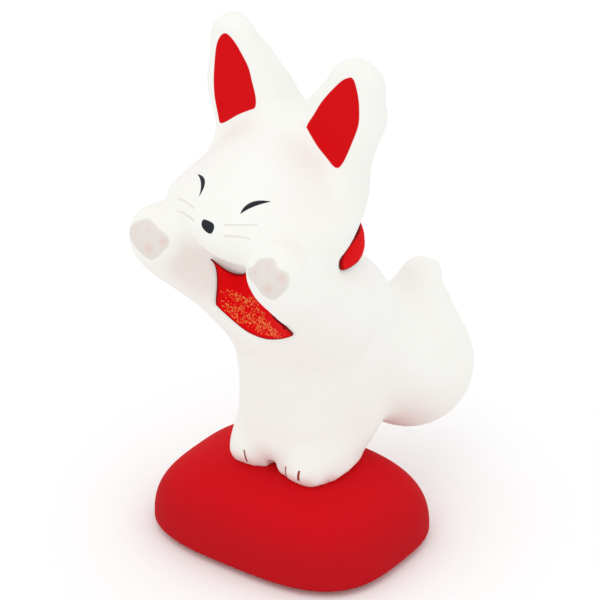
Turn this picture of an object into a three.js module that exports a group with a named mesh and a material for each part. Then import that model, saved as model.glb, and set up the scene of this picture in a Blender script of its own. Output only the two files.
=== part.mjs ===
// Inari fox statue: a white folk-craft fox, dancing with raised paws on a red stone-shaped base.
// Millimetres, +Z up. The origin is the middle of the base's underside.
// The fox looks along -Y, and its left side is +X.

import * as THREE from 'three';
import { mergeVertices } from 'three/addons/utils/BufferGeometryUtils.js';

// Driving dimensions
const FOX_HEIGHT = 119;
const FEET_SINK = 2.5;
const BASE_WIDTH = 66.5;
const BASE_DEPTH = 52;
const BASE_HEIGHT = 20.5;
const BASE_WIDEST_AT = 2.5;
const COLLAR_WIDTH = 8.4;
const COLLAR_THICKNESS = 1.8;
const BIB_WIDTH = 18.5;
const BIB_LENGTH = 19.2;
const BIB_THICKNESS = 0.9;
const PIECE_GAP = 0.3;

// How finely the rounded forms are cut into facets
const NET_ROWS = 41;
const NET_RELAX_ROUNDS = 4;
const BASE_SIDES = 44;
const BASE_DOME_STEPS = 10;
const BASE_EDGE_STEPS = 4;

// The fox stands on the base, its soles' lowest point a little below the top of the dome.
const FEET_LEVEL = BASE_HEIGHT - FEET_SINK;
const PERCENT = FOX_HEIGHT / 100;

// Distance from a point to an egg-like ball, close enough near its surface.
function egg([cx, cy, cz], [rx, ry, rz]) {
  return (x, y, z) => {
    const dx = x - cx;
    const dy = y - cy;
    const dz = z - cz;
    const reach = Math.hypot(dx / rx, dy / ry, dz / rz);
    const slope = Math.hypot(dx / (rx * rx), dy / (ry * ry), dz / (rz * rz));
    return slope < 1e-9 ? -Math.min(rx, ry, rz) : (reach * (reach - 1)) / slope;
  };
}

// Distance to a round limb that tapers from one ball to another.
function limb([ax, ay, az], startRadius, [bx, by, bz], endRadius) {
  const lx = bx - ax;
  const ly = by - ay;
  const lz = bz - az;
  const length = Math.hypot(lx, ly, lz);
  const taper = (startRadius - endRadius) / length;
  const flank = Math.sqrt(1 - taper * taper);
  return (x, y, z) => {
    const px = x - ax;
    const py = y - ay;
    const pz = z - az;
    const along = (px * lx + py * ly + pz * lz) / length;
    const aside = Math.sqrt(Math.max(px * px + py * py + pz * pz - along * along, 0));
    const side = along * flank - aside * taper;
    if (side < 0) return Math.hypot(along, aside) - startRadius;
    if (side > length * flank) return Math.hypot(along - length, aside) - endRadius;
    return aside * flank + along * taper - startRadius;
  };
}

// The same form on the fox's left and right.
function bothSides(form) {
  return (x, y, z) => form(Math.abs(x), y, z);
}

// Joins forms with a soft fillet where they meet.
function join(softness, ...forms) {
  return (x, y, z) => {
    let nearest = forms[0](x, y, z);
    for (let i = 1; i < forms.length; i += 1) {
      const next = forms[i](x, y, z);
      const overlap = Math.max(softness - Math.abs(nearest - next), 0) / softness;
      nearest = Math.min(nearest, next) - (overlap * overlap * softness) / 4;
    }
    return nearest;
  };
}

// A form with another one taken out of it, with a soft edge.
function hollowed(softness, form, cutter) {
  const outside = join(softness, (x, y, z) => -form(x, y, z), cutter);
  return (x, y, z) => -outside(x, y, z);
}

// A form turned by some degrees about a fore-and-aft line, top towards the fox's left.
function tilted(form, degrees, pivotHeight) {
  const cos = Math.cos(THREE.MathUtils.degToRad(degrees));
  const sin = Math.sin(THREE.MathUtils.degToRad(degrees));
  return (x, y, z) => {
    const above = z - pivotHeight;
    return form(x * cos - above * sin, y, pivotHeight + x * sin + above * cos);
  };
}

// The fox's forms. All places, radii and softnesses are percent of its height, from the soles up.
const legs = join(4.2,
  limb([0, -2, 9.3], 5.8, [0, 3.4, 22.8], 10.1),
  bothSides(join(2.5,
    egg([6.9, 1.3, 4.3], [6.6, 10.1, 6.7]),
    limb([5.3, 0.4, 9.3], 7.1, [4.2, 1.7, 23.6], 7.9),
    limb([6.6, 7.6, 9.3], 7.6, [4.9, 5, 23.6], 8.7),
  )),
);
const trunk = join(6.7,
  limb([0, -1.3, 40.8], 12.8, [0, 2.5, 27], 9.2),
  egg([0.4, 8, 36.1], [14.3, 14.1, 12]),
  limb([0, 0.4, 48], 11.4, [0, 0.8, 58.1], 12.2),
);

// A raised arm with its paw. A side of 1 is the fox's left, and -1 its right.
function arm(side, pawLift) {
  return join(2.5,
    limb([side * 8, 0, 40], 10, [side * 14, -20.2, 56.8 + pawLift], 7.2),
    egg([side * 14.5, -24.8, 60.8 + pawLift], [6.1, 5.5, 6.6]),
  );
}

// The left paw is held a little higher than the right one.
const arms = join(6.7, arm(-1, 0), arm(1, 1.3));
const tail = join(5,
  limb([3.4, 14.3, 26.1], 10.9, [7.3, 31.8, 12.7], 12.7),
  limb([7.3, 31.8, 12.7], 12.7, [8.4, 34.5, 32], 4.5),
);
const face = join(5,
  egg([0, 0, 67.8], [14.7, 14.3, 14.2]),
  egg([0, -9.2, 66.3], [19.2, 17.7, 8.2]),
  egg([1.2, -7.6, 65], [14.3, 16.8, 9.8]),
  egg([0, -5.9, 69.8], [12.6, 13.9, 11.3]),
);
const cheeks = bothSides(egg([10.3, -10.4, 63.2], [8.1, 9.2, 7.4]));

// The room ahead of the ears' flat faces.
const aheadOfEars = (x, y, z) => y + 4.8 - 0.07 * (z - 73.6);
const ears = bothSides(hollowed(1.2, join(1.7,
  limb([6.2, -0.8, 73.6], 10.1, [12.2, 0, 85.4], 7.8),
  limb([12.2, 0, 85.4], 7.8, [14.7, -1.2, 94.7], 5.1),
), aheadOfEars));
const head = tilted(join(4.2, face, cheeks, ears), 2.6, 58.1);

// The chest is hollow between the arms, where the bib hangs.
const chestHollow = join(4,
  egg([1, -26, 46], [11, 12.5, 11.5]),
  egg([-0.5, -25, 53.5], [9, 9.5, 8]),
);
const body = hollowed(3, join(10.1, join(6.7, trunk, legs, arms), tail), chestHollow);
const foxForm = join(3, body, head);

// The base is a stone-like dome. Its plan and its profile are squared-off ovals.
const PLAN_POWER = 3.1;
const DOME_POWER = 2.6;
const UNDERSIDE_FLAT = 0.7;

// How full the squared-off oval is at a point of the plan: 1 on its outline.
function planReach(x, y, halfWidth, halfDepth) {
  return (Math.abs(x / halfWidth) ** PLAN_POWER + Math.abs(y / halfDepth) ** PLAN_POWER) ** (1 / PLAN_POWER);
}

// Distance to the dome of the base, grown by a clearance, close enough near its surface.
function domeDistance(grow) {
  const halfWidth = BASE_WIDTH / 2 + grow;
  const halfDepth = BASE_DEPTH / 2 + grow;
  const rise = BASE_HEIGHT - BASE_WIDEST_AT + grow;
  const nudge = 0.05;
  const fill = (x, y, z) => {
    const up = Math.max(z - BASE_WIDEST_AT, 0) / rise;
    return (planReach(x, y, halfWidth, halfDepth) ** DOME_POWER + up ** DOME_POWER) ** (1 / DOME_POWER) - 1;
  };
  return (x, y, z) => {
    const here = fill(x, y, z);
    const slope = Math.hypot(
      fill(x + nudge, y, z) - here,
      fill(x, y + nudge, z) - here,
      fill(x, y, z + nudge) - here,
    ) / nudge;
    return here / Math.max(slope, 1e-6);
  };
}

const baseClearance = domeDistance(PIECE_GAP);

// The fox in the part's frame, its soles fitted to the dome.
function foxDistance(x, y, z) {
  const form = foxForm(x / PERCENT, y / PERCENT, (z - FEET_LEVEL) / PERCENT) * PERCENT;
  return Math.max(form, -baseClearance(x, y, z));
}

// Moves a point straight onto the surface where the field is zero.
function settle(field, point, mostMove) {
  const nudge = 0.02;
  const start = point.clone();
  for (let pass = 0; pass < 4; pass += 1) {
    const { x, y, z } = point;
    const slope = new THREE.Vector3(
      field(x + nudge, y, z) - field(x - nudge, y, z),
      field(x, y + nudge, z) - field(x, y - nudge, z),
      field(x, y, z + nudge) - field(x, y, z - nudge),
    ).divideScalar(2 * nudge);
    point.addScaledVector(slope, -field(x, y, z) / Math.max(slope.lengthSq(), 0.25));
  }
  const move = point.clone().sub(start);
  if (move.length() > mostMove) point.copy(start).addScaledVector(move, mostMove / move.length());
}

// A field measured at the corners of a grid of cubes.
function sampledField(field, box, cell) {
  const size = box.getSize(new THREE.Vector3());
  const [nx, ny, nz] = size.toArray().map((length) => Math.ceil(length / cell) + 1);
  const at = (i, j, k) => i + nx * (j + ny * k);
  const values = new Float64Array(nx * ny * nz);
  for (let k = 0; k < nz; k += 1) {
    for (let j = 0; j < ny; j += 1) {
      for (let i = 0; i < nx; i += 1) {
        values[at(i, j, k)] = field(box.min.x + i * cell, box.min.y + j * cell, box.min.z + k * cell);
      }
    }
  }
  return { nx, ny, nz, at, values };
}

const CUBE_CORNERS = [[0, 0, 0], [1, 0, 0], [0, 1, 0], [1, 1, 0], [0, 0, 1], [1, 0, 1], [0, 1, 1], [1, 1, 1]];
const CUBE_EDGES = [[0, 1], [2, 3], [4, 5], [6, 7], [0, 2], [1, 3], [4, 6], [5, 7], [0, 4], [1, 5], [2, 6], [3, 7]];

// The middle of the places where the surface crosses a cube's edges, in cells from the cube's corner.
function crossingMiddle(cornerValues) {
  const middle = new THREE.Vector3();
  let crossings = 0;
  for (const [from, to] of CUBE_EDGES) {
    const start = cornerValues[from];
    const end = cornerValues[to];
    if (start < 0 === end < 0) continue;
    const share = start / (start - end);
    const [fx, fy, fz] = CUBE_CORNERS[from];
    const [tx, ty, tz] = CUBE_CORNERS[to];
    middle.x += fx + (tx - fx) * share;
    middle.y += fy + (ty - fy) * share;
    middle.z += fz + (tz - fz) * share;
    crossings += 1;
  }
  return crossings === 0 ? null : middle.divideScalar(crossings);
}

// One knot of the net for each cube that the surface passes through.
function netKnots({ nx, ny, nz, at, values }, box, cell) {
  const knotOf = new Map();
  const knots = [];
  for (let k = 0; k < nz - 1; k += 1) {
    for (let j = 0; j < ny - 1; j += 1) {
      for (let i = 0; i < nx - 1; i += 1) {
        const middle = crossingMiddle(CUBE_CORNERS.map(([x, y, z]) => values[at(i + x, j + y, k + z)]));
        if (!middle) continue;
        knotOf.set(at(i, j, k), knots.length);
        knots.push(middle.add(new THREE.Vector3(i, j, k)).multiplyScalar(cell).add(box.min));
      }
    }
  }
  return { knots, knotOf };
}

// One quad of the net for each grid edge that the surface crosses, its face pointing out.
function netQuads({ nx, ny, nz, at, values }, knotOf) {
  const quads = [];
  const addQuad = (inside, cubes) => {
    const quad = cubes.map((cube) => knotOf.get(cube));
    quads.push(inside ? quad : quad.reverse());
  };
  for (let k = 1; k < nz - 1; k += 1) {
    for (let j = 1; j < ny - 1; j += 1) {
      for (let i = 1; i < nx - 1; i += 1) {
        const inside = values[at(i, j, k)] < 0;
        if (inside !== values[at(i + 1, j, k)] < 0) {
          addQuad(inside, [at(i, j - 1, k - 1), at(i, j, k - 1), at(i, j, k), at(i, j - 1, k)]);
        }
        if (inside !== values[at(i, j + 1, k)] < 0) {
          addQuad(inside, [at(i - 1, j, k - 1), at(i - 1, j, k), at(i, j, k), at(i, j, k - 1)]);
        }
        if (inside !== values[at(i, j, k + 1)] < 0) {
          addQuad(inside, [at(i - 1, j - 1, k), at(i, j - 1, k), at(i, j, k), at(i - 1, j, k)]);
        }
      }
    }
  }
  return quads;
}

// Evens out the net, keeping every knot on the surface.
function relaxNet(field, knots, quads, cell) {
  const neighbours = knots.map(() => new Set());
  for (const quad of quads) {
    quad.forEach((knot, side) => {
      neighbours[knot].add(quad[(side + 1) % 4]);
      neighbours[knot].add(quad[(side + 3) % 4]);
    });
  }
  knots.forEach((knot) => settle(field, knot, cell));
  for (let round = 0; round < NET_RELAX_ROUNDS; round += 1) {
    const middles = neighbours.map((around) => {
      const middle = new THREE.Vector3();
      around.forEach((other) => middle.add(knots[other]));
      return middle.divideScalar(around.size);
    });
    knots.forEach((knot, index) => settle(field, knot.lerp(middles[index], 0.5), cell));
  }
}

// Wraps a field's surface in an even net of quads, each split along its shorter diagonal.
function netGeometry(field, box, cell) {
  const samples = sampledField(field, box, cell);
  const { knots, knotOf } = netKnots(samples, box, cell);
  const quads = netQuads(samples, knotOf);
  relaxNet(field, knots, quads, cell);
  const triangles = [];
  for (const [a, b, c, d] of quads) {
    if (knots[a].distanceTo(knots[c]) < knots[b].distanceTo(knots[d])) triangles.push(a, b, c, a, c, d);
    else triangles.push(b, c, d, b, d, a);
  }
  return pointGeometry(knots, triangles);
}

function pointGeometry(points, triangles) {
  const geometry = new THREE.BufferGeometry();
  geometry.setAttribute('position', new THREE.Float32BufferAttribute(points.flatMap((p) => p.toArray()), 3));
  geometry.setIndex(triangles);
  return geometry;
}

// The fox: the box round it, as percent of its height, holds all its forms with some room.
function foxGeometry() {
  const low = new THREE.Vector3(-24, -35.8, -7).multiplyScalar(PERCENT);
  const high = new THREE.Vector3(24, 50, 104).multiplyScalar(PERCENT);
  const box = new THREE.Box3(low, high).translate(new THREE.Vector3(0, 0, FEET_LEVEL));
  return netGeometry(foxDistance, box, FOX_HEIGHT / NET_ROWS);
}

// The base: a lathe whose round plan is pushed out to a squared-off oval.
function baseGeometry() {
  const profile = [new THREE.Vector2(0, 0)];
  for (let step = 0; step < BASE_EDGE_STEPS; step += 1) {
    const turn = (Math.PI / 2) * (step / BASE_EDGE_STEPS);
    const reach = UNDERSIDE_FLAT + (1 - UNDERSIDE_FLAT) * Math.sin(turn);
    profile.push(new THREE.Vector2(reach, BASE_WIDEST_AT * (1 - Math.cos(turn))));
  }
  for (let step = 0; step < BASE_DOME_STEPS; step += 1) {
    const turn = (Math.PI / 2) * (step / BASE_DOME_STEPS);
    const rise = (BASE_HEIGHT - BASE_WIDEST_AT) * Math.sin(turn) ** (2 / DOME_POWER);
    profile.push(new THREE.Vector2(Math.cos(turn) ** (2 / DOME_POWER), BASE_WIDEST_AT + rise));
  }
  profile.push(new THREE.Vector2(0, BASE_HEIGHT));
  const lathe = new THREE.LatheGeometry(profile, BASE_SIDES);
  lathe.rotateX(Math.PI / 2);
  lathe.deleteAttribute('normal');
  lathe.deleteAttribute('uv');
  const geometry = withoutEmptyTriangles(mergeVertices(lathe, 1e-5));
  const places = geometry.getAttribute('position');
  for (let i = 0; i < places.count; i += 1) {
    const x = places.getX(i);
    const y = places.getY(i);
    const reach = Math.hypot(x, y);
    if (reach === 0) continue;
    const squared = reach / planReach(x, y, 1, 1);
    places.setXY(i, (x * squared * BASE_WIDTH) / 2, (y * squared * BASE_DEPTH) / 2);
  }
  return geometry;
}

// Drops the empty triangles that a lathe leaves where its profile meets the axis.
function withoutEmptyTriangles(geometry) {
  const index = geometry.getIndex().array;
  const kept = [];
  for (let i = 0; i < index.length; i += 3) {
    const [a, b, c] = [index[i], index[i + 1], index[i + 2]];
    if (a !== b && b !== c && c !== a) kept.push(a, b, c);
  }
  geometry.setIndex(kept);
  return geometry;
}

// Where a line from the neck's axis comes out of the fox and some distance further.
// A turn of zero is straight ahead, and the fox's left is positive. The line starts at a height and
// falls by a share of its length.
function skinPoint(turn, startHeight, fall, away) {
  const axisY = 0.8 * PERCENT;
  const stride = 0.5;
  const along = (reach) => new THREE.Vector3(
    Math.sin(turn) * reach,
    axisY - Math.cos(turn) * reach,
    startHeight - fall * reach,
  );
  const isInside = (reach) => foxDistance(...along(reach).toArray()) < away;
  let outer = stride;
  while (isInside(outer)) outer += stride;
  let inner = outer - stride;
  for (let pass = 0; pass < 20; pass += 1) {
    const middle = (inner + outer) / 2;
    if (isInside(middle)) inner = middle;
    else outer = middle;
  }
  return along(inner);
}

// A thin closed body over a grid of skin points: an outer face, an inner face and a rim.
// The grid runs from -1 to 1 along and across, and pointAt gives a point on its inner or outer side.
function skinBody(columns, rows, pointAt) {
  const points = [];
  const layers = [false, true].map((isOuter) => {
    const grid = [];
    for (let row = 0; row <= rows; row += 1) {
      const line = [];
      for (let column = 0; column <= columns; column += 1) {
        line.push(points.length);
        points.push(pointAt((2 * column) / columns - 1, (2 * row) / rows - 1, isOuter));
      }
      grid.push(line);
    }
    return grid;
  });
  const [inner, outer] = layers;
  const triangles = [];
  const addQuad = (a, b, c, d) => triangles.push(a, b, c, a, c, d);
  for (let row = 0; row < rows; row += 1) {
    for (let column = 0; column < columns; column += 1) {
      addQuad(outer[row][column], outer[row][column + 1], outer[row + 1][column + 1], outer[row + 1][column]);
      addQuad(inner[row][column], inner[row + 1][column], inner[row + 1][column + 1], inner[row][column + 1]);
    }
  }
  for (let column = 0; column < columns; column += 1) {
    addQuad(inner[0][column], inner[0][column + 1], outer[0][column + 1], outer[0][column]);
    addQuad(outer[rows][column], outer[rows][column + 1], inner[rows][column + 1], inner[rows][column]);
  }
  for (let row = 0; row < rows; row += 1) {
    addQuad(outer[row][0], outer[row + 1][0], inner[row + 1][0], inner[row][0]);
    addQuad(inner[row][columns], inner[row + 1][columns], outer[row + 1][columns], outer[row][columns]);
  }
  return pointGeometry(points, triangles);
}

// The collar: a band round the back of the neck, crowned across, that narrows to round ends at the cheeks.
function collarGeometry() {
  const reachEachWay = THREE.MathUtils.degToRad(112);
  const middleHeight = FEET_LEVEL + 55.6 * PERCENT;
  const forwardRise = 1.7 * PERCENT;
  const narrowestShare = 0.08;
  return skinBody(32, 5, (u, v, isOuter) => {
    const along = Math.sin((u * Math.PI) / 2);
    const across = Math.sin((v * Math.PI) / 2);
    const turn = Math.PI + along * reachEachWay;
    const width = COLLAR_WIDTH * (narrowestShare + (1 - narrowestShare) * Math.sqrt(1 - along ** 4));
    const height = middleHeight + forwardRise * Math.cos(turn) + (across * width) / 2;
    const crown = 0.35 + 0.65 * Math.sqrt(1 - across * across);
    return skinPoint(turn, height, 0, PIECE_GAP + (isOuter ? COLLAR_THICKNESS * crown : 0));
  });
}

// The bib: hangs on the chest from under the jaw, a little to the fox's left. Its lower corners are
// raised, and its upper corners run up into its ties.
function bibGeometry() {
  const topHeight = FEET_LEVEL + 54.9 * PERCENT;
  const chestRadius = 15.9 * PERCENT;
  const turnToLeft = THREE.MathUtils.degToRad(7.8);
  const cornerRise = 0.32;
  const tieRise = 0.22;
  const tieSpread = 0.06;
  const topShare = 0.86;
  const rimShare = 0.45;
  const topFall = 0.8;
  return skinBody(14, 10, (u, v, isOuter) => {
    const down = (1 - v) / 2;
    const tied = (u * (1 - down)) ** 4;
    const halfWidth = (BIB_WIDTH / 2) * (topShare + (1 - topShare) * down + tieSpread * tied);
    const turn = turnToLeft + (u * halfWidth) / chestRadius;
    const fall = topFall * (1 - down);
    const drop = down * (1 - cornerRise * u * u) - tieRise * tied;
    const height = topHeight - drop * BIB_LENGTH + fall * chestRadius;
    const isRim = Math.abs(u) === 1 || Math.abs(v) === 1;
    const thickness = BIB_THICKNESS * (isRim ? rimShare : 1);
    return skinPoint(turn, height, fall, PIECE_GAP + (isOuter ? thickness : 0));
  });
}

function piece(name, geometry, color, roughness) {
  geometry.computeVertexNormals();
  const mesh = new THREE.Mesh(geometry, new THREE.MeshStandardMaterial({ color, roughness, metalness: 0 }));
  mesh.name = name;
  return mesh;
}

const statue = new THREE.Group();
statue.add(piece('fox', foxGeometry(), 0xf4f1ea, 0.75));
statue.add(piece('base', baseGeometry(), 0xc11c23, 0.7));
statue.add(piece('collar', collarGeometry(), 0xd81a1c, 0.7));
statue.add(piece('bib', bibGeometry(), 0xd21419, 0.7));

export default statue;
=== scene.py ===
# %% [markdown]
# # A small folk-craft fox
#
# The object is a shelf ornament about 137 mm high. A white fox dances with both paws raised, on a red
# base shaped like a smooth stone. The body is moulded paper under matte shell-white paint, and its face,
# paws, toes and inner ears are drawn with a brush. A strip of red cloth goes round the neck, and a bib
# with gold flecks hangs on the chest.
#
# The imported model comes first, as a fixed frame. All that follows is built in its place, in metres.

# %% The fixed frame
import math

import bmesh
import bpy
import numpy as np
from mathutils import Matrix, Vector
from mathutils.bvhtree import BVHTree


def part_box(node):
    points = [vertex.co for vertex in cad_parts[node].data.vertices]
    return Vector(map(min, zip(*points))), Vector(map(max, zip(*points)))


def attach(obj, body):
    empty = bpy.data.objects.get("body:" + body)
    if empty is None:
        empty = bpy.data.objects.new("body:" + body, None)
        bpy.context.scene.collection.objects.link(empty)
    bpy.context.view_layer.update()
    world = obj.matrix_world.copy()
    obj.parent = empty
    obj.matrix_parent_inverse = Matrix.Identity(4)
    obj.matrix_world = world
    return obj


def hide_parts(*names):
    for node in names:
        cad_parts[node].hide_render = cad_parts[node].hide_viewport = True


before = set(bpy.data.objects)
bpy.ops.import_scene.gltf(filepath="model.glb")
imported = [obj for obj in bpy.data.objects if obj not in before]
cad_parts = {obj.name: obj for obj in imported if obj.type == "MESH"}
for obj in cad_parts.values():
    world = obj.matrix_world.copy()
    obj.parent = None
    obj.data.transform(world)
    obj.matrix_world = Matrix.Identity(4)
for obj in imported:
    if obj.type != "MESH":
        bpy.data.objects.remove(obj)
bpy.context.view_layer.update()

MM = 0.001


def in_mm(box):
    """The two corners of a box in mm, for a printed line."""
    return [[round(float(c) / MM, 1) for c in corner] for corner in box]


# %% [markdown]
# ## The camera
#
# The camera stands where the picture of the object was taken: 36 degrees to the fox's left of its face
# and almost 30 degrees above the shelf, about a metre away. A camera far off with a narrow angle keeps the
# ears and the base in proportion, as a product picture does.

# %% The camera
CAMERA_TURN = math.radians(36)
CAMERA_RISE = math.radians(29.7)
CAMERA_DISTANCE = 0.977
CAMERA_TARGET = Vector((-0.0030, 0.0077, 0.0606))
VIEW_WIDTH_AT_TARGET = 0.1467


def direction(turn, rise):
    """A unit vector from the object towards a place around it. Turn 0 is in front of the fox."""
    level = math.cos(rise)
    return Vector((math.sin(turn) * level, -math.cos(turn) * level, math.sin(rise)))


def add_object(name, data):
    made = bpy.data.objects.new(name, data)
    bpy.context.scene.collection.objects.link(made)
    return made


def aim(seer, target, back, distance):
    """Puts a camera or a light at a distance from its target and turns it to look there."""
    seer.location = target + back * distance
    seer.rotation_euler = back.to_track_quat("Z", "Y").to_euler()


lens = bpy.data.cameras.new("camera")
lens.angle = 2 * math.atan(VIEW_WIDTH_AT_TARGET / 2 / CAMERA_DISTANCE)
lens.clip_start = 0.01
camera = add_object("camera", lens)
aim(camera, CAMERA_TARGET, direction(CAMERA_TURN, CAMERA_RISE), CAMERA_DISTANCE)
bpy.context.scene.camera = camera
print("camera angle in degrees:", round(math.degrees(lens.angle), 2))

# %% [markdown]
# ## Light and floor
#
# A white object on a white ground needs very soft light, or its forms turn grey. Most of the light comes
# from the whole sky, and one large lamp above and to the left of the camera adds the slight shade that
# shows the forms. The floor is a wide pale sheet.

# %% Light and floor
SKY_WHITE = (1.0, 1.0, 1.0, 1.0)
SKY_STRENGTH = 1.0
LAMP_POWER = 1.1
LAMP_SIZE = 0.9
LAMP_TURN = math.radians(15)
LAMP_RISE = math.radians(66)
LAMP_DISTANCE = 1.1
FLOOR_REACH = 4

sky = bpy.data.worlds.new("sky")
sky.use_nodes = True
background = sky.node_tree.nodes["Background"]
background.inputs["Color"].default_value = SKY_WHITE
background.inputs["Strength"].default_value = SKY_STRENGTH
bpy.context.scene.world = sky
bpy.context.scene.view_settings.view_transform = "Standard"

glow = bpy.data.lights.new("lamp overhead", "AREA")
glow.shape = "DISK"
glow.size = LAMP_SIZE
glow.energy = LAMP_POWER
lamp = add_object("lamp overhead", glow)
aim(lamp, CAMERA_TARGET, direction(LAMP_TURN, LAMP_RISE), LAMP_DISTANCE)

floor_corners = [(x * FLOOR_REACH, y * FLOOR_REACH, 0) for x, y in ((-1, -1), (1, -1), (1, 1), (-1, 1))]
floor_mesh = bpy.data.meshes.new("floor")
floor_mesh.from_pydata(floor_corners, [], [(0, 1, 2, 3)])
floor = add_object("floor", floor_mesh)
print("floor reaches", FLOOR_REACH, "m each way, lamp hangs", round(lamp.location.z, 2), "m high")

# %% [markdown]
# ## Short hands for node trees
#
# Shapes and paints below are made of node trees, and small helpers keep them readable. Some add one node,
# such as a sum, a soft step or a mix of two colours. Others start an empty group or an empty paint, and
# the last turns a screen's colour into the values that a paint needs.

# %% Short hands for node trees
def feed(tree, socket, source):
    """Links a socket to another node's answer, or sets it to a plain value."""
    if isinstance(source, bpy.types.NodeSocket):
        tree.links.new(source, socket)
    elif source is not None:
        socket.default_value = source


def calc(tree, operation, *sources):
    """Adds one sum, such as ADD or SINE, and returns the socket with its answer."""
    node = tree.nodes.new("ShaderNodeMath")
    node.operation = operation
    for socket, source in zip(node.inputs, sources):
        feed(tree, socket, source)
    return node.outputs["Value"]


def vector_calc(tree, operation, *sources, scale=None):
    """Adds one vector sum. Some of them answer with a plain value."""
    node = tree.nodes.new("ShaderNodeVectorMath")
    node.operation = operation
    for socket, source in zip(node.inputs, sources):
        feed(tree, socket, source)
    if scale is not None:
        feed(tree, node.inputs["Scale"], scale)
    answer = "Value" if operation in ("DOT_PRODUCT", "LENGTH", "DISTANCE") else "Vector"
    return node.outputs[answer]


def add_node(tree, kind, settings=None, **sources):
    """Adds a node. Settings are its own choices, and each source feeds the input of that name."""
    node = tree.nodes.new(kind)
    for name, value in (settings or {}).items():
        setattr(node, name, value)
    for name, source in sources.items():
        feed(tree, node.inputs[name.replace("_", " ")], source)
    return node


def new_group(name, kind, inputs, outputs):
    """A node group with named inputs and outputs. Each entry is a name, a socket type and a value."""
    group = bpy.data.node_groups.new(name, kind)
    for entry, socket_type, value in inputs:
        socket = group.interface.new_socket(entry, in_out="INPUT", socket_type=socket_type)
        if value is not None:
            socket.default_value = value
    for entry, socket_type in outputs:
        group.interface.new_socket(entry, in_out="OUTPUT", socket_type=socket_type)
    entrance = group.nodes.new("NodeGroupInput")
    leave = group.nodes.new("NodeGroupOutput")
    return group, entrance.outputs, leave.inputs


def new_paint(name):
    """An empty material, with its node tree and the inputs of its shader."""
    material = bpy.data.materials.new(name)
    material.use_nodes = True
    tree = material.node_tree
    tree.nodes.clear()
    shader = tree.nodes.new("ShaderNodeBsdfPrincipled")
    output = tree.nodes.new("ShaderNodeOutputMaterial")
    tree.links.new(shader.outputs["BSDF"], output.inputs["Surface"])
    return material, tree, shader.inputs


def mixed(tree, share, first, second):
    """A colour between two others. The node holds its colours in inputs 6 and 7 and in output 2."""
    node = tree.nodes.new("ShaderNodeMix")
    node.data_type = "RGBA"
    feed(tree, node.inputs["Factor"], share)
    feed(tree, node.inputs[6], first)
    feed(tree, node.inputs[7], second)
    return node.outputs[2]


def inside(tree, distance, softness):
    """1 where a distance is below zero and 0 where it is above, with a soft step between."""
    node = add_node(tree, "ShaderNodeMapRange", {"interpolation_type": "SMOOTHSTEP"}, Value=distance,
                    From_Min=softness, From_Max=-softness)
    return node.outputs["Result"]


def srgb(red, green, blue):
    """A colour given as a screen's 0 to 255 values."""
    def linear(value):
        share = value / 255
        return share / 12.92 if share <= 0.04045 else ((share + 0.055) / 1.055) ** 2.4
    return (linear(red), linear(green), linear(blue), 1.0)


# %% [markdown]
# The floor is painted almost white and dead matte, like a sheet of drawing paper. It throws light back up
# under the arms and the tail and mirrors nothing.

# %% The floor's paint
FLOOR_WHITE = (0.97, 0.97, 0.97, 1.0)
FLOOR_ROUGHNESS = 0.9

floor_paint, tree, shader = new_paint("pale floor")
shader["Base Color"].default_value = FLOOR_WHITE
shader["Roughness"].default_value = FLOOR_ROUGHNESS
shader["Specular IOR Level"].default_value = 0.0
floor.data.materials.append(floor_paint)

# %% [markdown]
# ## The fox's skin
#
# The real fox is one smooth, rounded form with no edges, pressed in a mould and sanded. The frame's fox is
# a net of small flat faces. Here the net is copied, its loose triangles are joined back into four-sided
# faces, and a subdivision surface rounds it.
#
# Rounding pulls a form in a little where it bulges. So the net's knots are first pushed out by what the
# rounding takes away, a few times over, until the smooth skin passes through the frame's own corners.

# %% The fox's skin
SKIN_LEVELS = 2
FITTING_ROUNDS = 4
SAME_CORNER = 0.001 * MM
MOST_FOLDED = math.radians(50)
MOST_SKEWED = math.radians(70)


def joined_net(node):
    """Corners and faces of a frame node, its triangles merged and joined in pairs."""
    net = bmesh.new()
    net.from_mesh(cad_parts[node].data)
    bmesh.ops.remove_doubles(net, verts=net.verts, dist=SAME_CORNER)
    bmesh.ops.join_triangles(net, faces=net.faces, angle_face_threshold=MOST_FOLDED,
                             angle_shape_threshold=MOST_SKEWED)
    corners = np.array([corner.co for corner in net.verts])
    faces = [[corner.index for corner in face.verts] for face in net.faces]
    net.free()
    return corners, faces


def new_mesh(name, corners, faces):
    mesh = bpy.data.meshes.new(name)
    mesh.from_pydata([tuple(corner) for corner in corners], [], faces)
    mesh.shade_smooth()
    return mesh


def finished(piece):
    """A piece's mesh with its modifiers worked in. The piece keeps that mesh and loses the modifiers."""
    graph = bpy.context.evaluated_depsgraph_get()
    mesh = bpy.data.meshes.new_from_object(piece.evaluated_get(graph))
    piece.modifiers.clear()
    piece.data = mesh
    return mesh


def places(mesh):
    """A mesh's corners as rows of x, y and z."""
    flat = np.empty(len(mesh.vertices) * 3)
    mesh.vertices.foreach_get("co", flat)
    return flat.reshape(-1, 3)


def rounded(name, corners, faces, levels):
    """A smooth piece that passes through the given corners."""
    knots = corners.copy()
    piece = add_object(name, new_mesh(name, knots, faces))
    for fitting_round in range(FITTING_ROUNDS):
        piece.data = new_mesh(name, knots, faces)
        rounding = piece.modifiers.new("rounding", "SUBSURF")
        rounding.levels = levels
        rounding.render_levels = levels
        skin = places(finished(piece))[:len(corners)]
        misfit = corners - skin
        knots += misfit
        print("round", fitting_round + 1, "leaves", round(np.abs(misfit).max() / MM, 3), "mm at most")
    return piece


net_corners, net_faces = joined_net("fox")
print("fox net:", len(net_corners), "knots,", len(net_faces), "faces")
fox = rounded("fox_skin", net_corners, net_faces, SKIN_LEVELS)
print("fox skin:", len(fox.data.polygons), "faces")

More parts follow.
